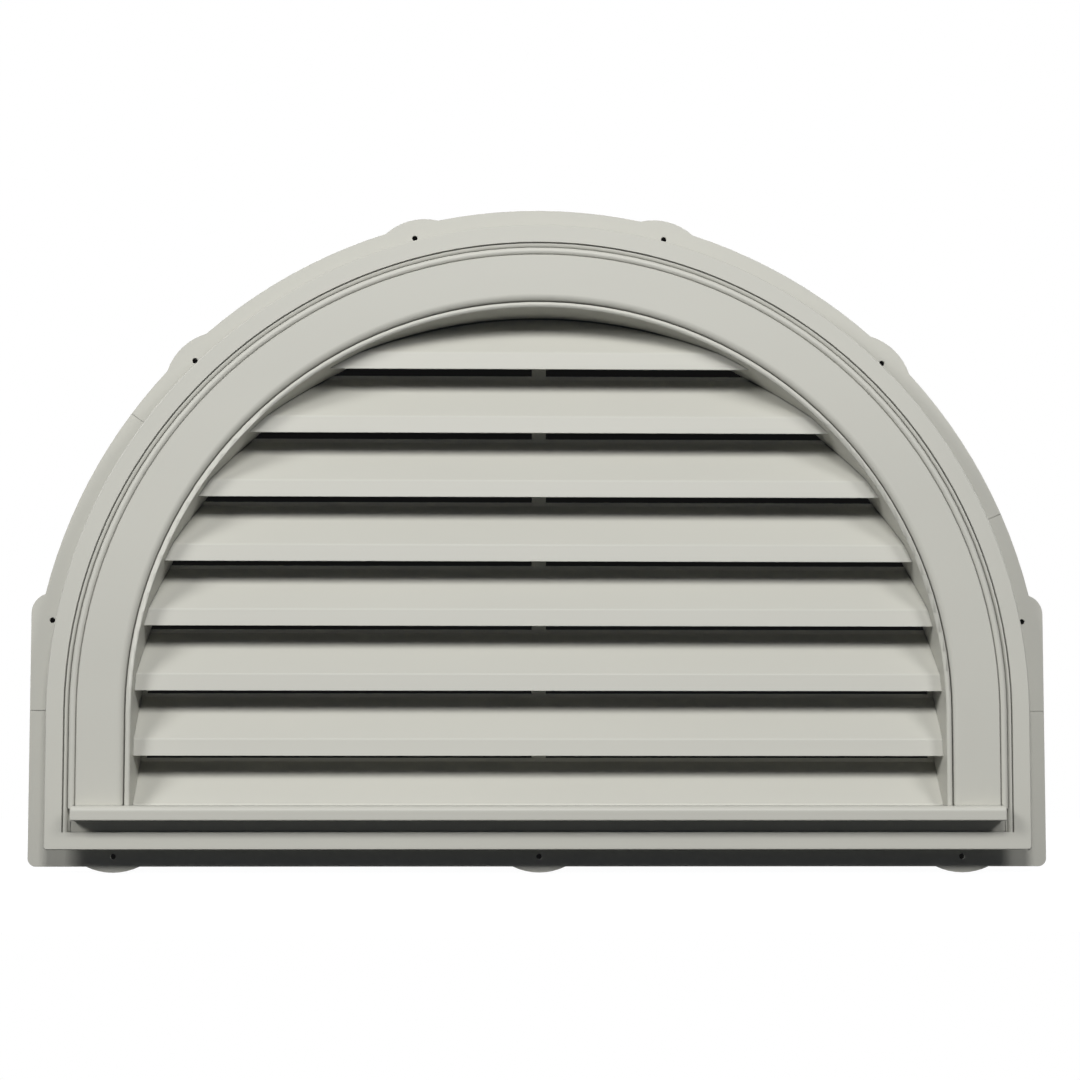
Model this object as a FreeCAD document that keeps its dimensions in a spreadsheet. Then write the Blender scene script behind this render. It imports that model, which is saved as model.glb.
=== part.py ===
"""Half-round louvred gable vent, moulded in one piece of grey polypropylene.

Millimetres. +Z is up, +X is to the right as seen from outside, and +Y goes into the wall.
The origin is the centre of the arch, in the plane of the nailing flange's back, which lies on
the wall. Heights called front or back are measured from that plane towards the outside.
"""
import FreeCAD
import Part

import math
import os

import Sketcher

# Every driving size of the moulding, with what it measures. Angles are in degrees.
SIZES = (
    ("opening_radius", 343.0, "clear radius of the arch at the front of the reveal"),
    ("leg_height", 79.5, "arch centre down to the top of the sill"),
    ("wall", 2.4, "moulded wall of the surround"),
    ("bead_width", 4.3, "bead round the opening"),
    ("groove_width", 0.6, "floor of the groove outside the bead"),
    ("roundover_width", 6.0, "rounded inner shoulder of the casing"),
    ("casing_width", 33.7, "flat face of the casing"),
    ("quirk_width", 1.0, "fine groove outside the flat face"),
    ("ridge_width", 5.8, "rounded ridge on the casing's outer edge"),
    ("band_width", 5.4, "rounded band between the ridge and the siding lip"),
    ("crease_width", 1.6, "fine creases on both sides of the band"),
    ("lip_width", 14.7, "siding lip, from the crease to its free edge"),
    ("flange_width", 17.3, "nailing flange beyond the siding lip, at the arch and sides"),
    ("flange_foot", 15.0, "nailing flange beyond the siding lip, at the bottom"),
    ("lip_front", 27.8, "front of the siding lip"),
    ("band_fall", 1.4, "inner edge of the band, behind the front of the siding lip"),
    ("crease_depth", 1.8, "fine creases, below the edges of the band"),
    ("recess_step", 2.8, "recess under the sill, behind the inner edge of the band"),
    ("casing_step", 3.7, "casing's flat face, in front of the siding lip"),
    ("groove_depth", 4.2, "groove outside the bead, below the flat face"),
    ("bead_drop", 1.4, "sides of the bead, below the flat face"),
    ("bead_rise", 1.1, "crown of the bead, in front of its sides"),
    ("quirk_depth", 1.9, "fine groove and sides of the ridge, below the flat face"),
    ("ridge_rise", 1.7, "crown of the ridge, in front of its sides"),
    ("sill_step", 12.5, "front of the sill, in front of the flat face"),
    ("sill_height", 12.2, "sill"),
    ("sill_inset", 3.8, "end of the sill, inside the casing's outer face"),
    ("sill_round", 4.4, "upper front edge of the sill"),
    ("sill_edge", 1.2, "other front edges of the sill"),
    ("recess_height", 10.0, "recess between the sill and the siding lip"),
    ("rear_depth", 17.2, "louvre box, behind the flange's back"),
    ("reveal_draft", 3.0, "taper of the reveal from front to rear"),
    ("lip_corner", 2.6, "lower corners of the siding lip"),
    ("lip_edge", 0.8, "bevel of the siding lip's free edge"),
    ("flange_corner", 7.0, "lower corners of the nailing flange"),
    ("louvre_pitch", 54.9, "one louvre to the next"),
    ("louvre_wall", 2.2, "moulded wall of the louvres"),
    ("louvre_lip", 14.3, "upright front face of a louvre"),
    ("louvre_lean", 1.8, "top of that face, behind its nose"),
    ("louvre_round", 1.6, "rounding between the upright face and the slope"),
    ("louvre_rise", 1.0, "lowest louvre's slope starts above the sill"),
    ("nose_setback", 12.5, "nose of a louvre, behind the sides of the bead"),
    ("slot_gap", 1.8, "open height between a louvre's nose and the stop behind it"),
    ("stop_height", 3.2, "upright rain stop along the rear of a louvre"),
    ("mullion_width", 12.0, "centre mullion behind the louvres"),
    ("stile_width", 5.0, "upright strips at the rear of the legs"),
    ("nail_offset", 6.6, "nail holes beyond the edge of the siding lip"),
    ("nail_radius", 2.35, "nail holes"),
    ("nail_angle_top", 14.8, "upper nail holes, from the vertical"),
    ("nail_angle_middle", 44.6, "middle nail holes, from the vertical"),
    ("nail_angle_side", 79.5, "side nail holes, from the vertical"),
    ("nail_bottom", 360.0, "outer bottom nail holes, from the centre line"),
    ("tab_rise", 5.1, "nail tabs beyond the edge of the flange"),
    ("tab_radius_arch", 50.0, "nail tabs on the arch"),
    ("tab_radius_foot", 52.0, "nail tabs along the bottom"),
    ("shoulder_height", 100.0, "top of the square shoulders of the flange"),
    ("shoulder_corner", 17.0, "rounded corners of those shoulders"),
    ("seam_width", 0.8, "mould seams across the flange"),
    ("seam_depth", 0.4, "mould seams across the flange"),
    ("seam_angle_left", 54.0, "left mould seam, from the vertical"),
    ("seam_angle_right", 66.9, "right mould seam, from the vertical"),
)


class Size:
    """A length that keeps its number and the expression that gives it from the sheet."""

    def __init__(self, value, text):
        self.value = float(value)
        self.text = text

    def __add__(self, other):
        return Size(self.value + other.value, "(%s + %s)" % (self.text, other.text))

    def __sub__(self, other):
        return Size(self.value - other.value, "(%s - %s)" % (self.text, other.text))

    def __mul__(self, other):
        return Size(self.value * other.value, "(%s * %s)" % (self.text, other.text))

    def __truediv__(self, other):
        return Size(self.value / other.value, "(%s / %s)" % (self.text, other.text))

    def __neg__(self):
        return Size(-self.value, "(-%s)" % self.text)


def number(value):
    return Size(value, repr(float(value)))


def half(size):
    return size / number(2)


def root(size):
    return Size(math.sqrt(size.value), "sqrt(%s)" % size.text)


def sine(angle):
    return Size(math.sin(math.radians(angle.value)), "sin(%s * 1 deg)" % angle.text)


def cosine(angle):
    return Size(math.cos(math.radians(angle.value)), "cos(%s * 1 deg)" % angle.text)


ZERO = number(0)


def make_sheet(doc):
    """Fill the sheet of driving sizes and return them by name."""
    sheet = doc.addObject("Spreadsheet::Sheet", "Sizes")
    for row, (name, value, note) in enumerate(SIZES, start=1):
        sheet.set("A%d" % row, name)
        sheet.set("B%d" % row, str(value))
        sheet.setAlias("B%d" % row, name)
        sheet.set("C%d" % row, note)
    doc.recompute()
    return {name: Size(value, "%s.%s" % (sheet.Name, name)) for name, value, note in SIZES}


class Plan:
    """The places that several features share, worked out from the driving sizes."""

    def __init__(self, s):
        # Radii of the arch, and half-widths of the legs, from the opening outwards.
        self.opening = s["opening_radius"]
        self.bead_out = self.opening + s["bead_width"]
        self.groove_out = self.bead_out + s["groove_width"]
        self.flat_in = self.groove_out + s["roundover_width"]
        self.flat_out = self.flat_in + s["casing_width"]
        self.ridge_in = self.flat_out + s["quirk_width"]
        self.ridge_out = self.ridge_in + s["ridge_width"]
        self.channel_in = self.ridge_out + s["band_width"]
        self.channel_out = self.channel_in + s["wall"]
        self.lip_out = self.channel_in + s["lip_width"]
        self.flange_out = self.lip_out + s["flange_width"]

        # Depths below the centre of the arch.
        self.sill_foot = s["leg_height"] + s["sill_height"]
        self.leg_foot = s["leg_height"] + s["wall"]
        self.channel_in_foot = self.sill_foot + s["recess_height"]
        self.channel_out_foot = self.channel_in_foot + s["wall"]
        self.lip_foot = self.channel_in_foot + s["lip_width"]
        self.flange_foot = self.lip_foot + s["flange_foot"]

        # Heights in front of the flange's back.
        self.band_front = s["lip_front"] - s["band_fall"]
        self.band_back = self.band_front - s["crease_depth"] - s["wall"]
        self.recess_front = self.band_front - s["recess_step"]
        self.casing_front = s["lip_front"] + s["casing_step"]
        self.bead_side = self.casing_front - s["bead_drop"]
        self.groove_floor = self.casing_front - s["groove_depth"]
        self.sill_front = self.casing_front + s["sill_step"]

        # The lowest louvre, as distances into the wall (y) and upwards (z).
        self.nose_y = s["nose_setback"] - self.bead_side
        self.slope_y = self.nose_y + s["louvre_lean"]
        self.lip_inner_y = self.nose_y + s["louvre_wall"]
        self.stop_front_y = s["rear_depth"] - s["louvre_wall"]
        self.slope_z = s["louvre_rise"] - s["leg_height"]
        self.nose_z = self.slope_z - s["louvre_lip"]
        self.stop_z = self.nose_z + s["louvre_pitch"] - s["slot_gap"]
        self.slope_end_z = self.stop_z - s["stop_height"]


def origin_feature(body, role):
    return next(item for item in body.Origin.OriginFeatures if item.Role == role)


def new_body(doc, name):
    body = doc.addObject("PartDesign::Body", name)
    body.AllowCompound = True
    return body


def new_sketch(body, name, plane, offset=None):
    """A sketch on one of the body's own planes, moved along that plane's normal."""
    sketch = body.newObject("Sketcher::SketchObject", name)
    sketch.AttachmentSupport = [(origin_feature(body, plane), "")]
    sketch.MapMode = "FlatFace"
    if offset is not None:
        sketch.AttachmentOffset = FreeCAD.Placement(
            FreeCAD.Vector(0, 0, offset.value), FreeCAD.Rotation())
        sketch.setExpression("AttachmentOffset.Base.z", offset.text)
    return sketch


def fix_coordinate(sketch, axis, geometry, vertex, size):
    """Tie one coordinate of a vertex to a size, measured from the sketch's origin."""
    origin = (-1, 1)
    point = (geometry, vertex)
    if size.value < 0:
        origin, point = point, origin
        size = -size
    index = sketch.addConstraint(
        Sketcher.Constraint("Distance" + axis, *origin, *point, size.value))
    sketch.setExpression("Constraints[%d]" % index, size.text)


def arc_centre(start, end, axis, known):
    """The centre that is as far from both ends, with one of its coordinates known."""
    (x0, y0), (x1, y1) = start, end
    level = (x1 * x1 + y1 * y1 - x0 * x0 - y0 * y0) / 2
    if axis == "X":
        return known, (level - known * (x1 - x0)) / (y1 - y0)
    return (level - known * (y1 - y0)) / (x1 - x0), known


def add_arc(sketch, start, end, axis, known, turn):
    """An arc between two points, counter-clockwise where turn is 1 and clockwise where -1."""
    x, y = arc_centre(start, end, axis, known)
    first, last = (start, end) if turn > 0 else (end, start)
    circle = Part.Circle(
        FreeCAD.Vector(x, y, 0), FreeCAD.Vector(0, 0, 1), math.hypot(start[0] - x, start[1] - y))
    first_angle = math.atan2(first[1] - y, first[0] - x)
    last_angle = math.atan2(last[1] - y, last[0] - x)
    if last_angle <= first_angle:
        last_angle += 2 * math.pi
    return sketch.addGeometry(Part.ArcOfCircle(circle, first_angle, last_angle))


def closed_profile(sketch, corners, arcs=None):
    """Draw a closed outline through the corners, each tied to its sizes.

    arcs gives, for the stretch that starts at a corner's number, the axis along which the arc's
    centre is known, that coordinate, and the turn of the arc.
    """
    arcs = arcs or {}
    points = [(x.value, y.value) for x, y in corners]
    ends = []
    for number_of_corner, start in enumerate(points):
        end = points[(number_of_corner + 1) % len(points)]
        if number_of_corner in arcs:
            axis, known, turn = arcs[number_of_corner]
            geometry = add_arc(sketch, start, end, axis, known.value, turn)
            ends.append((geometry, 1, 2) if turn > 0 else (geometry, 2, 1))
        else:
            geometry = sketch.addGeometry(Part.LineSegment(
                FreeCAD.Vector(*start, 0), FreeCAD.Vector(*end, 0)))
            ends.append((geometry, 1, 2))
    for number_of_corner, (geometry, first, last) in enumerate(ends):
        following, following_first, following_last = ends[(number_of_corner + 1) % len(ends)]
        sketch.addConstraint(
            Sketcher.Constraint("Coincident", geometry, last, following, following_first))
    for (geometry, first, last), (x, y) in zip(ends, corners):
        fix_coordinate(sketch, "X", geometry, first, x)
        fix_coordinate(sketch, "Y", geometry, first, y)
    for number_of_corner, (axis, known, turn) in arcs.items():
        fix_coordinate(sketch, axis, ends[number_of_corner][0], 3, known)


def rectangle(sketch, left, right, bottom, top):
    closed_profile(sketch, [(left, bottom), (right, bottom), (right, top), (left, top)])


def circle(sketch, x, y, radius):
    geometry = sketch.addGeometry(Part.Circle(
        FreeCAD.Vector(x.value, y.value, 0), FreeCAD.Vector(0, 0, 1), radius.value))
    index = sketch.addConstraint(Sketcher.Constraint("Radius", geometry, radius.value))
    sketch.setExpression("Constraints[%d]" % index, radius.text)
    fix_coordinate(sketch, "X", geometry, 3, x)
    fix_coordinate(sketch, "Y", geometry, 3, y)


def stilted_arch(sketch, reach, foot, corner=None):
    """A half circle on two straight legs, closed across the bottom."""
    half_circle = {0: ("Y", ZERO, 1)}
    if corner is None:
        closed_profile(
            sketch,
            [(reach, ZERO), (-reach, ZERO), (-reach, -foot), (reach, -foot)],
            half_circle)
        return
    inner = reach - corner
    knee = corner - foot
    closed_profile(
        sketch,
        [(reach, ZERO), (-reach, ZERO), (-reach, knee), (-inner, -foot), (inner, -foot),
         (reach, knee)],
        {**half_circle, 2: ("X", -inner, 1), 4: ("X", inner, 1)})


def pad(body, name, sketch, length, reverse=False, midplane=False):
    feature = body.newObject("PartDesign::Pad", name)
    feature.Profile = sketch
    feature.Length = length.value
    feature.setExpression("Length", length.text)
    feature.Reversed = reverse
    feature.Midplane = midplane
    return feature


def pocket(doc, body, name, sketch, length, reverse=False):
    """Cut a pocket, and stop if it takes nothing away."""
    doc.recompute()
    before = body.Shape.Volume
    feature = body.newObject("PartDesign::Pocket", name)
    feature.Profile = sketch
    feature.Length = length.value
    feature.setExpression("Length", length.text)
    feature.Reversed = reverse
    doc.recompute()
    if body.Shape.Volume >= before:
        raise RuntimeError("%s cuts nothing" % name)
    return feature


def half_turn(body, name, sketch):
    """Sweep a section over the arch, from the right leg to the left."""
    feature = body.newObject("PartDesign::Revolution", name)
    feature.Profile = sketch
    feature.ReferenceAxis = (sketch, ["V_Axis"])
    feature.Angle = 180
    feature.Reversed = True
    return feature


def mirror(body, name, feature):
    """Repeat a leg on the other side of the centre line."""
    copy = body.newObject("PartDesign::Mirrored", name)
    copy.Originals = [feature]
    copy.MirrorPlane = (origin_feature(body, "YZ_Plane"), [""])
    body.Tip = copy
    return copy


def finish_edges(doc, body, name, kind, size, chosen):
    """Fillet or chamfer the edges of the body that a test on their points picks out."""
    doc.recompute()
    base = body.Tip
    names = [
        "Edge%d" % number_of_edge
        for number_of_edge, edge in enumerate(base.Shape.Edges, start=1)
        if all(chosen(vertex.Point) for vertex in edge.Vertexes)
        and chosen(edge.valueAt((edge.FirstParameter + edge.LastParameter) / 2))]
    feature = body.newObject("PartDesign::" + kind, name)
    feature.Base = (base, names)
    measure = {"Fillet": "Radius", "Chamfer": "Size"}[kind]
    setattr(feature, measure, size.value)
    feature.setExpression(measure, size.text)
    return feature


def arch_and_legs(body, name, corners, arcs, foot):
    """Carry one section over the arch and down both legs to the foot."""
    sketch = new_sketch(body, name + "_section", "XY_Plane")
    closed_profile(sketch, corners, arcs)
    half_turn(body, name + "_arch", sketch)
    leg = pad(body, name + "_right_leg", sketch, foot, reverse=True)
    mirror(body, name + "_left_leg", leg)


def nail_places(s, plan):
    """The centres of the nail holes: six on the arch and three along the bottom."""
    circle_radius = plan.lip_out + s["nail_offset"]
    arch = []
    for angle in ("nail_angle_top", "nail_angle_middle", "nail_angle_side"):
        x = circle_radius * sine(s[angle])
        z = circle_radius * cosine(s[angle])
        arch += [(x, z), (-x, z)]
    foot = -(plan.lip_foot + s["nail_offset"])
    bottom = [(x, foot) for x in (-s["nail_bottom"], ZERO, s["nail_bottom"])]
    return arch + bottom


def add_nail_tabs(body, s, plan):
    """Scallops that stand out of the flange at the nail holes, and its square shoulders."""
    sketch = new_sketch(body, "nail_tabs_outline", "XZ_Plane")
    centre = plan.flange_out + s["tab_rise"] - s["tab_radius_arch"]
    for angle in ("nail_angle_top", "nail_angle_middle"):
        x = centre * sine(s[angle])
        z = centre * cosine(s[angle])
        circle(sketch, x, z, s["tab_radius_arch"])
        circle(sketch, -x, z, s["tab_radius_arch"])
    foot = s["tab_radius_foot"] - s["tab_rise"] - plan.flange_foot
    for x in (-s["nail_bottom"], ZERO, s["nail_bottom"]):
        circle(sketch, x, foot, s["tab_radius_foot"])
    top = s["shoulder_height"]
    outer = plan.flange_out
    corner_x = outer - s["shoulder_corner"]
    corner_z = top - s["shoulder_corner"]
    inner = plan.channel_in
    closed_profile(
        sketch,
        [(inner, ZERO), (outer, ZERO), (outer, corner_z), (corner_x, top), (inner, top)],
        {2: ("X", corner_x, 1)})
    closed_profile(
        sketch,
        [(-outer, ZERO), (-inner, ZERO), (-inner, top), (-corner_x, top), (-outer, corner_z)],
        {3: ("X", -corner_x, 1)})
    pad(body, "nail_tabs", sketch, s["wall"])


def add_seams(doc, body, s, plan):
    """Fine seams that the mould's slides leave across the front of the flange."""
    sketch = new_sketch(body, "seam_outline", "XZ_Plane", s["wall"])
    near = plan.channel_out
    far = plan.flange_out
    breadth = half(s["seam_width"])
    rectangle(sketch, near, far, -breadth, breadth)
    rectangle(sketch, -far, -near, -breadth, breadth)
    for side, angle in ((number(-1), s["seam_angle_left"]), (number(1), s["seam_angle_right"])):
        along_x = side * sine(angle)
        along_z = cosine(angle)
        across_x = breadth * along_z
        across_z = breadth * along_x
        closed_profile(sketch, [
            (near * along_x - across_x, near * along_z + across_z),
            (near * along_x + across_x, near * along_z - across_z),
            (far * along_x + across_x, far * along_z - across_z),
            (far * along_x - across_x, far * along_z + across_z)])
    pocket(doc, body, "seams", sketch, s["seam_depth"])


def add_band(body, s, plan):
    """The rounded band between two fine creases, inside the siding lip."""
    overlap = half(s["wall"])
    crease_half = half(s["crease_width"])
    inner_floor = s["crease_depth"] - plan.band_front
    outer_floor = s["crease_depth"] - s["lip_front"]
    band_end = plan.channel_in - s["crease_width"]
    section = [
        (plan.ridge_out - overlap, inner_floor),
        (plan.ridge_out, inner_floor),
        (plan.ridge_out + crease_half, -plan.band_front),
        (band_end, -s["lip_front"]),
        (plan.channel_in - crease_half, outer_floor),
        (plan.channel_in, -s["lip_front"]),
        (plan.channel_in + overlap, -plan.band_back),
        (plan.ridge_out - overlap, -plan.band_back),
    ]
    rounds = {2: ("X", band_end, 1)}
    arch_and_legs(body, "band", section, rounds, plan.channel_in_foot + overlap)


def make_flange_and_channel(doc, s, plan):
    """The nailing flange, the siding channel's wall and lip, and the band inside it."""
    body = new_body(doc, "flange_and_channel")

    flange = new_sketch(body, "flange_outline", "XZ_Plane")
    stilted_arch(flange, plan.flange_out, plan.flange_foot, s["flange_corner"])
    pad(body, "flange", flange, s["wall"])
    add_nail_tabs(body, s, plan)

    window = new_sketch(body, "flange_window_outline", "XZ_Plane", s["wall"])
    stilted_arch(window, plan.channel_in, plan.channel_in_foot)
    pocket(doc, body, "flange_window", window, s["wall"])

    holes = new_sketch(body, "nail_hole_centres", "XZ_Plane", s["wall"])
    for x, z in nail_places(s, plan):
        circle(holes, x, z, s["nail_radius"])
    pocket(doc, body, "nail_holes", holes, s["wall"])
    add_seams(doc, body, s, plan)

    channel = new_sketch(body, "channel_outline", "XZ_Plane")
    stilted_arch(channel, plan.channel_out, plan.channel_out_foot)
    stilted_arch(channel, plan.channel_in, plan.channel_in_foot)
    pad(body, "channel_wall", channel, s["lip_front"])

    lip = new_sketch(body, "siding_lip_outline", "XZ_Plane", s["lip_front"] - s["wall"])
    stilted_arch(lip, plan.lip_out, plan.lip_foot, s["lip_corner"])
    stilted_arch(lip, plan.channel_in, plan.channel_in_foot)
    pad(body, "siding_lip", lip, s["wall"])

    edge_y = -s["lip_front"].value
    edge_reach = (plan.channel_out.value + plan.lip_out.value) / 2
    edge_foot = -(plan.channel_out_foot.value + plan.lip_foot.value) / 2

    def on_free_edge(point):
        outside = math.hypot(point.x, max(point.z, 0)) > edge_reach or point.z < edge_foot
        return outside and abs(point.y - edge_y) < s["lip_edge"].value / 2

    finish_edges(doc, body, "siding_lip_edge", "Chamfer", s["lip_edge"], on_free_edge)
    add_band(body, s, plan)
    return body


def crown_centre(side, width, rise):
    """The height of the centre of a crown's arc, from the height of the crown's two sides."""
    reach = half(width)
    return side + half(rise - reach * reach / rise)


def make_casing(doc, s, plan):
    """The moulded casing, hollow behind, with the reveal that runs back to the louvres."""
    body = new_body(doc, "casing")
    wall = s["wall"]
    flat = plan.casing_front
    flat_back = flat - wall
    groove_back = plan.groove_floor - wall
    ridge_side = flat - s["quirk_depth"]
    rear_radius = plan.opening - s["reveal_draft"]
    bead_centre = crown_centre(plan.bead_side, s["bead_width"], s["bead_rise"])
    ridge_centre = crown_centre(ridge_side, s["ridge_width"], s["ridge_rise"])
    section = [
        (plan.opening, -plan.bead_side),
        (plan.bead_out, -plan.bead_side),
        (plan.bead_out, -plan.groove_floor),
        (plan.groove_out, -plan.groove_floor),
        (plan.flat_in, -flat),
        (plan.flat_out, -flat),
        (plan.ridge_in, -ridge_side),
        (plan.ridge_out, -ridge_side),
        (plan.ridge_out, -plan.band_back),
        (plan.ridge_out - wall, -plan.band_back),
        (plan.ridge_out - wall, -flat_back),
        (plan.flat_in, -flat_back),
        (plan.groove_out, -groove_back),
        (plan.opening + wall, -groove_back),
        (rear_radius + wall, s["rear_depth"]),
        (rear_radius, s["rear_depth"]),
    ]
    rounds = {
        0: ("Y", -bead_centre, 1),
        3: ("X", plan.flat_in, 1),
        6: ("Y", -ridge_centre, 1),
    }
    arch_and_legs(body, "casing", section, rounds, plan.leg_foot)
    return body


def make_sill(doc, s, plan):
    """The projecting sill under the legs, a box that is open at the rear."""
    body = new_body(doc, "sill")
    reach = plan.ridge_out - s["sill_inset"]
    back = -plan.lip_inner_y
    depth = plan.sill_front - back

    outline = new_sketch(body, "sill_outline", "XZ_Plane", back)
    rectangle(outline, -reach, reach, -plan.sill_foot, -s["leg_height"])
    pad(body, "sill_block", outline, depth)

    near_front = s["sill_edge"].value / 2 - plan.sill_front.value
    near_top = -s["leg_height"].value - s["sill_edge"].value / 2
    finish_edges(doc, body, "sill_front_round", "Fillet", s["sill_round"],
                 lambda point: point.y < near_front and point.z > near_top)
    finish_edges(doc, body, "sill_front_edges", "Fillet", s["sill_edge"],
                 lambda point: point.y < near_front)

    hollow = new_sketch(body, "sill_hollow_outline", "XZ_Plane", back)
    inner = reach - s["wall"]
    rectangle(hollow, -inner, inner, s["wall"] - plan.sill_foot, -plan.leg_foot)
    pocket(doc, body, "sill_hollow", hollow, depth - s["wall"], reverse=True)
    return body


def make_apron(doc, s, plan):
    """The sunk panel between the sill and the siding lip, turned up at both ends."""
    body = new_body(doc, "apron")
    outer = plan.ridge_out + half(s["band_width"])
    inner = plan.ridge_out - s["sill_inset"] - half(s["wall"])
    bottom = -(plan.channel_in_foot + half(s["wall"]))
    ledge = s["wall"] - plan.sill_foot
    top = -(s["leg_height"] + half(s["wall"]))
    outline = new_sketch(body, "apron_outline", "XZ_Plane", plan.recess_front - s["wall"])
    closed_profile(outline, [
        (-outer, bottom), (outer, bottom), (outer, top), (inner, top),
        (inner, ledge), (-inner, ledge), (-inner, top), (-outer, top)])
    pad(body, "apron_panel", outline, s["wall"])
    return body


def louvre_profile(s, plan):
    """The section of one louvre: upright lip, rounded edge, slope and rain stop."""
    thickness = s["louvre_wall"]
    run = plan.stop_front_y - plan.slope_y
    rise = plan.slope_end_z - plan.slope_z
    slant = root(run * run + rise * rise)
    gradient = rise / run
    under = thickness * slant / run
    edge_y = plan.slope_y - s["louvre_lean"] * s["louvre_round"] / s["louvre_lip"]
    edge_z = plan.slope_z - s["louvre_round"]
    corners = [
        (plan.nose_y, plan.nose_z),
        (edge_y, edge_z),
        (plan.slope_y + s["louvre_round"] * run / slant,
         plan.slope_z + s["louvre_round"] * rise / slant),
        (plan.stop_front_y, plan.slope_end_z),
        (plan.stop_front_y, plan.stop_z),
        (s["rear_depth"], plan.stop_z),
        (s["rear_depth"], plan.slope_z + (s["rear_depth"] - plan.slope_y) * gradient - under),
        (plan.lip_inner_y + s["louvre_lean"], plan.slope_z + thickness * gradient - under),
        (plan.lip_inner_y, plan.nose_z),
    ]
    return corners, {1: ("Y", edge_z, -1)}


def make_louvre_bank(doc, s, plan):
    """All the louvres at full width, with the mullion and stiles that tie their rain stops."""
    body = new_body(doc, "louvre_bank")
    opening_height = s["leg_height"].value + s["opening_radius"].value
    rows = 1 + int((opening_height - s["louvre_lip"].value) / s["louvre_pitch"].value)

    mullion = new_sketch(body, "mullion_outline", "XZ_Plane", -s["rear_depth"])
    mullion_half = half(s["mullion_width"])
    rectangle(mullion, -mullion_half, mullion_half, plan.slope_end_z, plan.opening)
    pad(body, "mullion", mullion, s["louvre_wall"])

    profile = new_sketch(body, "louvre_section", "YZ_Plane")
    closed_profile(profile, *louvre_profile(s, plan))
    louvre = pad(body, "louvre", profile, plan.ridge_out * number(2), midplane=True)

    bank = body.newObject("PartDesign::LinearPattern", "louvre_rows")
    bank.Originals = [louvre]
    bank.Direction = (origin_feature(body, "Z_Axis"), [""])
    bank.Occurrences = rows
    bank.Length = s["louvre_pitch"].value * (rows - 1)
    bank.setExpression("Length", "%s * %d" % (s["louvre_pitch"].text, rows - 1))
    body.Tip = bank

    stiles = new_sketch(body, "stile_outline", "XZ_Plane", -s["rear_depth"])
    stile_in = plan.opening - s["reveal_draft"] - s["stile_width"]
    stile_top = root((plan.opening * plan.opening) - (stile_in * stile_in))
    rectangle(stiles, stile_in, plan.flat_in, plan.slope_end_z, stile_top)
    rectangle(stiles, -plan.flat_in, -stile_in, plan.slope_end_z, stile_top)
    pad(body, "stiles", stiles, s["louvre_wall"])
    return body


def make_reveal_core(doc, s, plan):
    """The space inside the reveal, to the middle of its wall, which bounds the louvres."""
    body = new_body(doc, "reveal_core")
    middle = plan.opening + half(s["wall"])
    section = [
        (ZERO, -plan.bead_side),
        (middle, -plan.bead_side),
        (middle - s["reveal_draft"], s["rear_depth"]),
        (ZERO, s["rear_depth"]),
    ]
    arch_and_legs(body, "core", section, None, plan.leg_foot)
    return body


def make_vent(doc, s):
    """Join the regions of the moulding into one solid."""
    plan = Plan(s)
    louvres = doc.addObject("Part::Common", "louvres")
    louvres.Base = make_louvre_bank(doc, s, plan)
    louvres.Tool = make_reveal_core(doc, s, plan)
    vent = doc.addObject("Part::MultiFuse", "vent_body")
    vent.Shapes = [
        make_flange_and_channel(doc, s, plan),
        make_casing(doc, s, plan),
        make_sill(doc, s, plan),
        make_apron(doc, s, plan),
        louvres,
    ]
    vent.Refine = True
    vent.Label = "vent_body"
    return vent


def check(doc, piece):
    """Stop if any object failed, or if the piece isn't one valid solid."""
    failed = [
        item.Label for item in doc.Objects
        if "Invalid" in item.State or "Error" in item.State]
    if failed:
        raise RuntimeError("failed: %s" % ", ".join(failed))
    shape = piece.Shape
    if shape.isNull() or not shape.isValid() or len(shape.Solids) != 1:
        raise RuntimeError("%s is not one valid solid" % piece.Label)


def main():
    doc = FreeCAD.newDocument("gable_vent")
    sizes = make_sheet(doc)
    vent = make_vent(doc, sizes)
    doc.recompute()
    check(doc, vent)
    os.makedirs("parts", exist_ok=True)
    vent.Shape.exportStep(os.path.join("parts", vent.Label + ".step"))
    box = vent.Shape.optimalBoundingBox()
    print("%s: %.1f x %.1f x %.1f mm, %.1f cm3, %d faces" % (
        vent.Label, box.XLength, box.YLength, box.ZLength,
        vent.Shape.Volume / 1000, len(vent.Shape.Faces)))


main()
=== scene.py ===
"""Looks of the half-round gable vent: grey moulded polypropylene in soft studio light.

Metres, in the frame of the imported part: +X to the right, +Y into the wall, +Z up.
"""

import math

import bpy
from mathutils import Matrix, Vector


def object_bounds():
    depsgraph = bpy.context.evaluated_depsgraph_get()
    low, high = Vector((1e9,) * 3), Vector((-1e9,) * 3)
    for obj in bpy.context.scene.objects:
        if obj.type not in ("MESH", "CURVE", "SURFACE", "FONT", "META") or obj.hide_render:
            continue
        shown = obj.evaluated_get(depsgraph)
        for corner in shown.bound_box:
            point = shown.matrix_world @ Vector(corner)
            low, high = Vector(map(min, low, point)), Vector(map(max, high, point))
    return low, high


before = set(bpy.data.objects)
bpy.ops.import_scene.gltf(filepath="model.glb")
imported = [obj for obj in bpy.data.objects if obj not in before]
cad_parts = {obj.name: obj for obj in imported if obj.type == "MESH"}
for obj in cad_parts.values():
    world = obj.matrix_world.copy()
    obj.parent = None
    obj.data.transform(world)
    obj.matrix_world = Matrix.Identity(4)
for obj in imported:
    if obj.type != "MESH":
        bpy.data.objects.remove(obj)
cad_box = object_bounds()

MM = 0.001
WHITE = "#ffffff"

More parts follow.
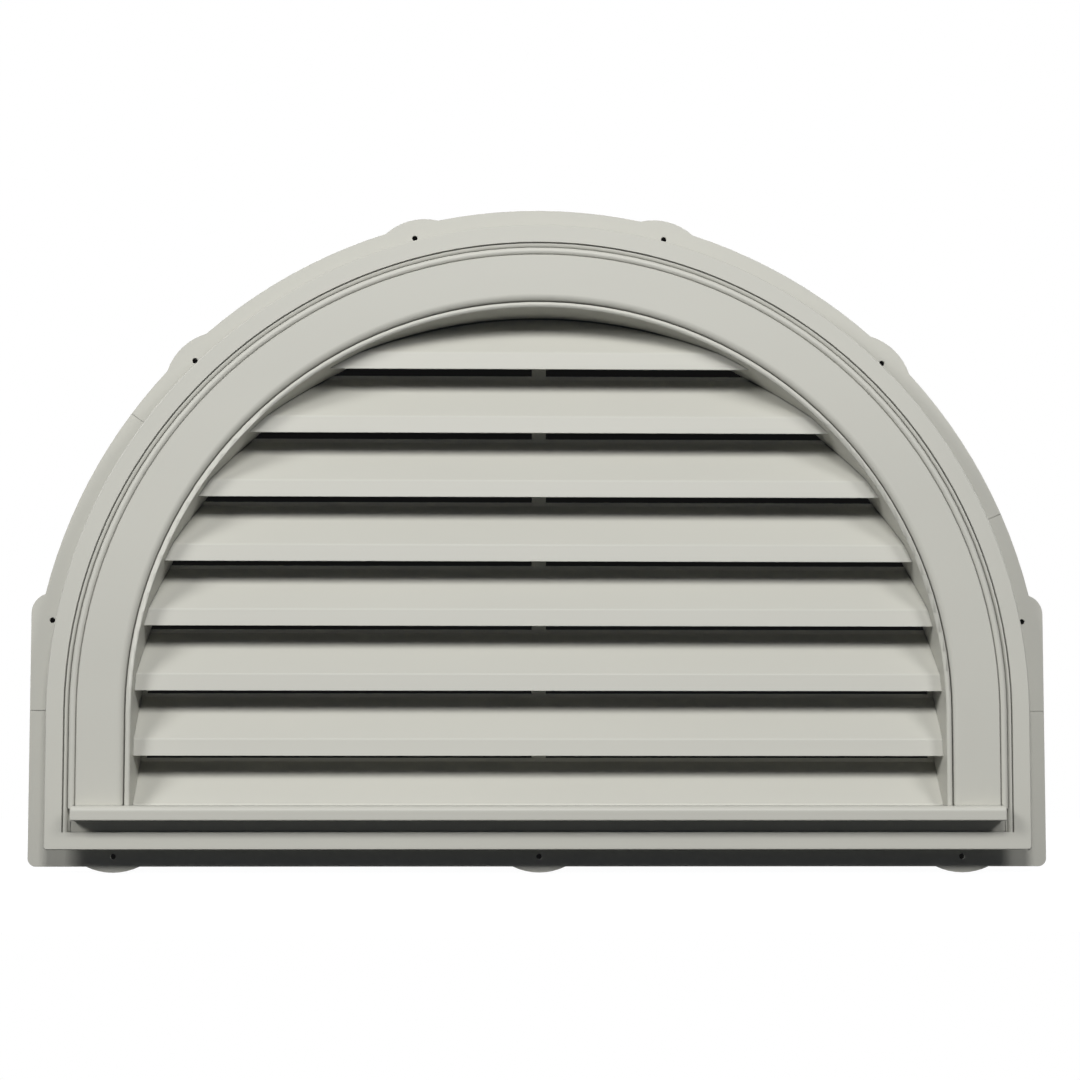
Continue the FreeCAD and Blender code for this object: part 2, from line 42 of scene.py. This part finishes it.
# The vent's plastic: a warm grey with faint lighter clouds, and painted shade in its creases.
PLASTIC_GREY, PLASTIC_CLOUD, PLASTIC_CREASE_SHADE = "#bab9b0", "#c1c0b6", "#75746e"
PLASTIC_IOR = 1.49
SATIN_ROUGHNESS, DULL_ROUGHNESS = 0.46, 0.54
CLOUD_SIZE = 120 * MM
CLOUD_STRETCH = (0.35, 1.0, 1.0)
CREASE_SHADE_REACH = 2.4 * MM
GRAIN_SIZE, GRAIN_DEPTH = 1.2 * MM, 0.05 * MM
EDGE_RADIUS = 0.5 * MM

# The view of the photograph: where the camera stands and how it is turned.
CAMERA_PLACE = (-0.0494, -2.2, -0.0304)
CAMERA_PITCH = math.radians(4.593)
CAMERA_YAW = math.radians(1.304)
CAMERA_ROLL = math.radians(0.03)
FRAME_PIXELS = 1080
FOCAL_PIXELS = 2576
SENSOR_WIDTH = 36.0

# The painted shade behind the vent: a dark sheet on the wall's face round the hole, and on the
# attic in the hole.
WALL_REACH, WALL_FOOT = 425 * MM, -127 * MM
HOLE_REACH, HOLE_FOOT = 352 * MM, -85 * MM
WALL_BEHIND = 0.5 * MM
ATTIC_BEHIND = 0.5 * MM
ARCH_STEPS = 48
PAINTED_SHADE_COLOUR = "#101010"
ATTIC_GLOOM = "#5a5a5a"

# The studio floor, just under the vent: its own colour, and the white that the view sees.
FLOOR_SIDE, FLOOR_FRONT, FLOOR_BACK = 1.4, 0.7, 1.6
FLOOR_BELOW = 0.3 * MM
FLOOR_GREY, FLOOR_WHITE = "#5d5e5f", "#f6f6f6"

# The soft boxes: name, azimuth and elevation in degrees, distance, width, height, watts.
# Azimuth 0 is straight in front of the vent, and all of them are aimed at its middle.
SOFT_BOXES = (
    ("front_soft_box", 1, 34, 3.2, 0.9, 0.9, 57),
    ("left_soft_box", -47, 24, 3.4, 1.1, 0.9, 56),
    ("right_soft_box", 40, 27, 3.4, 0.9, 0.9, 36),
    ("back_left_soft_box", -130, 25, 2.0, 1.2, 1.0, 20),
    ("back_right_soft_box", 130, 25, 2.0, 1.2, 1.0, 20),
)
VENT_MIDDLE = Vector((0.0, 0.0, 0.15))

# A faint cool light from all round, which keeps the warm grey's shadows neutral.
FILL_COLOUR, FILL_STRENGTH = "#93b4ff", 0.035


def linear(hex_colour):
    """An sRGB hex colour as linear red, green, blue and alpha."""
    channels = [int(hex_colour[i:i + 2], 16) / 255 for i in (1, 3, 5)]
    straight = [c / 12.92 if c <= 0.04045 else ((c + 0.055) / 1.055) ** 2.4 for c in channels]
    return (*straight, 1.0)


def add_node(tree, kind, settings=None, inputs=None):
    """Add a node, set its properties, and set or link its inputs, by name or by number."""
    node = tree.nodes.new(kind)
    for name, value in (settings or {}).items():
        setattr(node, name, value)
    for name, value in (inputs or {}).items():
        if isinstance(value, bpy.types.NodeSocket):
            tree.links.new(value, node.inputs[name])
        else:
            node.inputs[name].default_value = value
    return node


def new_material(name):
    material = bpy.data.materials.new(name)
    material.use_nodes = True
    material.node_tree.nodes.clear()
    return material, material.node_tree


def moulded_polypropylene():
    """Polypropylene coloured through and moulded in a finely spark-eroded tool.

    The tool leaves an even satin skin with a soft, wide sheen. The melt's flow leaves
    faint long clouds in the colour and in the gloss.
    """
    material, tree = new_material("moulded_polypropylene")
    place = add_node(tree, "ShaderNodeTexCoord").outputs["Object"]

    # Clouds of the melt's flow, about 120 mm high and stretched to three times that along X.
    stretched = add_node(tree, "ShaderNodeMapping", inputs={
        "Vector": place, "Scale": CLOUD_STRETCH}).outputs["Vector"]
    clouds = add_node(tree, "ShaderNodeTexNoise", inputs={
        "Vector": stretched, "Scale": 1 / CLOUD_SIZE,
        "Detail": 2.0, "Roughness": 0.5}).outputs["Fac"]
    clean = add_node(tree, "ShaderNodeMix", {"data_type": "RGBA"}, {
        "Factor": clouds,
        "A": linear(PLASTIC_GREY), "B": linear(PLASTIC_CLOUD)}).outputs["Result"]
    roughness = add_node(tree, "ShaderNodeMapRange", inputs={
        "Value": clouds, "From Min": 0.3, "From Max": 0.7,
        "To Min": SATIN_ROUGHNESS, "To Max": DULL_ROUGHNESS}).outputs["Result"]

    # Painted shade: the colour darkens within about 2 mm of a crease's bottom, where the
    # groove's shadow falls.
    openness = add_node(
        tree, "ShaderNodeAmbientOcclusion", {"samples": 8, "only_local": True},
        {"Distance": CREASE_SHADE_REACH}).outputs["AO"]
    out_of_crease_shade = add_node(tree, "ShaderNodeMapRange", inputs={
        "Value": openness, "From Min": 0.25, "From Max": 0.75}).outputs["Result"]
    colour = add_node(tree, "ShaderNodeMix", {"data_type": "RGBA"}, {
        "Factor": out_of_crease_shade, "A": linear(PLASTIC_CREASE_SHADE), "B": clean}).outputs["Result"]

    # The eroded grain is about 0.2 mm. It is drawn at 1.2 mm so that it shows in the render.
    grain = add_node(tree, "ShaderNodeTexNoise", inputs={
        "Vector": place, "Scale": 1 / GRAIN_SIZE,
        "Detail": 3.0, "Roughness": 0.6}).outputs["Fac"]
    # Moulded edges are never sharp: their shading turns over about half a millimetre.
    edges = add_node(
        tree, "ShaderNodeBevel", {"samples": 4}, {"Radius": EDGE_RADIUS}).outputs["Normal"]
    skin = add_node(tree, "ShaderNodeBump", inputs={
        "Strength": 0.12, "Distance": GRAIN_DEPTH,
        "Height": grain, "Normal": edges}).outputs["Normal"]

    surface = add_node(tree, "ShaderNodeBsdfPrincipled", inputs={
        "Base Color": colour, "Roughness": roughness, "IOR": PLASTIC_IOR, "Normal": skin})
    add_node(tree, "ShaderNodeOutputMaterial", inputs={"Surface": surface.outputs["BSDF"]})
    return material


def pale_floor():
    """A plain matt studio floor. The view sees it white, with the vent's shadow a faint grey."""
    material, tree = new_material("pale_floor")
    seen = add_node(tree, "ShaderNodeLightPath").outputs["Is Camera Ray"]
    matt = add_node(tree, "ShaderNodeBsdfDiffuse", inputs={
        "Color": linear(FLOOR_GREY)}).outputs["BSDF"]
    white = add_node(tree, "ShaderNodeEmission", inputs={
        "Color": linear(FLOOR_WHITE), "Strength": 1.0}).outputs["Emission"]
    lit = add_node(tree, "ShaderNodeAddShader", inputs={0: matt, 1: white}).outputs["Shader"]
    mix = add_node(tree, "ShaderNodeMixShader", inputs={"Fac": seen, 1: matt, 2: lit})
    add_node(tree, "ShaderNodeOutputMaterial", inputs={"Surface": mix.outputs["Shader"]})
    return material


def painted_shade_material(name, gloom):
    """Painted shade behind the vent: a dark colour that the view sees from in front.

    From behind the view looks through it, and other light passes in the gloom's colour.
    """
    material, tree = new_material(name)
    seen = add_node(tree, "ShaderNodeLightPath").outputs["Is Camera Ray"]
    behind = add_node(tree, "ShaderNodeNewGeometry").outputs["Backfacing"]
    seen_from_front = add_node(
        tree, "ShaderNodeMath", {"operation": "GREATER_THAN"},
        {0: seen, 1: behind}).outputs["Value"]
    passing = add_node(tree, "ShaderNodeMix", {"data_type": "RGBA"}, {
        "Factor": seen, "A": linear(gloom), "B": linear(WHITE)}).outputs["Result"]
    clear = add_node(tree, "ShaderNodeBsdfTransparent", inputs={
        "Color": passing}).outputs["BSDF"]
    # Painted shade: a near-black glow that only the view sees, in place of the unlit dark behind
    # the vent.
    dark = add_node(tree, "ShaderNodeEmission", inputs={
        "Color": linear(PAINTED_SHADE_COLOUR), "Strength": 1.0}).outputs["Emission"]
    mix = add_node(tree, "ShaderNodeMixShader", inputs={
        "Fac": seen_from_front, 1: clear, 2: dark})
    add_node(tree, "ShaderNodeOutputMaterial", inputs={"Surface": mix.outputs["Shader"]})
    return material


def stage_piece(name, points, faces, material):
    mesh = bpy.data.meshes.new(name)
    mesh.from_pydata(points, [], faces)
    mesh.materials.append(material)
    piece = bpy.data.objects.new(name, mesh)
    bpy.context.scene.collection.objects.link(piece)
    return piece


def make_floor():
    level = cad_box[0][2] - FLOOR_BELOW
    corners = [(-FLOOR_SIDE, -FLOOR_FRONT, level), (FLOOR_SIDE, -FLOOR_FRONT, level),
               (FLOOR_SIDE, FLOOR_BACK, level), (-FLOOR_SIDE, FLOOR_BACK, level)]
    stage_piece("floor", corners, [(0, 1, 2, 3)], pale_floor())


def stilted_arch(reach, foot, depth):
    """Points round a half circle on two legs, from the right foot to the left foot."""
    points = [(reach, depth, foot)]
    for step in range(ARCH_STEPS + 1):
        turn = math.pi * step / ARCH_STEPS
        points.append((reach * math.cos(turn), depth, reach * math.sin(turn)))
    points.append((-reach, depth, foot))
    return points


def make_backdrop():
    """The painted shade that shows through the louvres' slots and the nail holes."""
    attic = stilted_arch(HOLE_REACH, HOLE_FOOT, cad_box[1][1] + ATTIC_BEHIND)
    outside = stilted_arch(WALL_REACH, WALL_FOOT, WALL_BEHIND)
    inside = stilted_arch(HOLE_REACH, HOLE_FOOT, WALL_BEHIND)
    count = len(attic)
    faces = [tuple(range(count))]
    for corner in range(count):
        following = (corner + 1) % count
        faces.append((count + corner, count + following,
                      2 * count + following, 2 * count + corner))
    backdrop = stage_piece(
        "backdrop", attic + outside + inside, faces, painted_shade_material("attic_painted_shade", ATTIC_GLOOM))
    # The attic is the first face. The others are the wall, which lets all light pass.
    backdrop.data.materials.append(painted_shade_material("wall_painted_shade", WHITE))
    for face in backdrop.data.polygons[1:]:
        face.material_index = 1


def soft_box(name, azimuth, elevation, distance, width, height, power):
    """A rectangular studio lamp that the view doesn't see."""
    turn, rise = math.radians(azimuth), math.radians(elevation)
    towards = Vector((
        math.sin(turn) * math.cos(rise), -math.cos(turn) * math.cos(rise), math.sin(rise)))
    lamp = bpy.data.lights.new(name, "AREA")
    lamp.shape = "RECTANGLE"
    lamp.size = width
    lamp.size_y = height
    lamp.energy = power
    piece = bpy.data.objects.new(name, lamp)
    piece.location = VENT_MIDDLE + towards * distance
    piece.rotation_euler = towards.to_track_quat("Z", "Y").to_euler()
    piece.visible_camera = False
    bpy.context.scene.collection.objects.link(piece)


def light_studio():
    """The soft boxes, and a world that is white to the view and gives only the faint fill."""
    for box in SOFT_BOXES:
        soft_box(*box)

    world = bpy.data.worlds.new("studio")
    world.use_nodes = True
    tree = world.node_tree
    tree.nodes.clear()
    seen = add_node(tree, "ShaderNodeLightPath").outputs["Is Camera Ray"]
    fill = add_node(tree, "ShaderNodeBackground", inputs={
        "Color": linear(FILL_COLOUR), "Strength": FILL_STRENGTH}).outputs["Background"]
    white = add_node(tree, "ShaderNodeBackground", inputs={
        "Color": linear(WHITE), "Strength": 1.0}).outputs["Background"]
    mix = add_node(tree, "ShaderNodeMixShader", inputs={"Fac": seen, 1: fill, 2: white})
    add_node(tree, "ShaderNodeOutputWorld", inputs={"Surface": mix.outputs["Shader"]})
    bpy.context.scene.world = world


def place_camera():
    sin_yaw, cos_yaw = math.sin(CAMERA_YAW), math.cos(CAMERA_YAW)
    sin_pitch, cos_pitch = math.sin(CAMERA_PITCH), math.cos(CAMERA_PITCH)
    ahead = Vector((sin_yaw * cos_pitch, cos_yaw * cos_pitch, sin_pitch))
    level_right = Vector((cos_yaw, -sin_yaw, 0))
    level_up = level_right.cross(ahead)
    right = level_right * math.cos(CAMERA_ROLL) + level_up * math.sin(CAMERA_ROLL)
    up = level_up * math.cos(CAMERA_ROLL) - level_right * math.sin(CAMERA_ROLL)
    turn = Matrix((right, up, -ahead)).transposed()

    lens = bpy.data.cameras.new("photo_view")
    lens.sensor_width = SENSOR_WIDTH
    lens.lens = SENSOR_WIDTH * FOCAL_PIXELS / FRAME_PIXELS
    camera = bpy.data.objects.new("photo_view", lens)
    camera.matrix_world = Matrix.Translation(CAMERA_PLACE) @ turn.to_4x4()
    bpy.context.scene.collection.objects.link(camera)
    bpy.context.scene.camera = camera


def finish_vent():
    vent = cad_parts["vent_body"]
    vent.data.materials.clear()
    vent.data.materials.append(moulded_polypropylene())


finish_vent()
make_floor()
make_backdrop()
light_studio()
place_camera()
bpy.context.scene.view_settings.view_transform = "Standard"
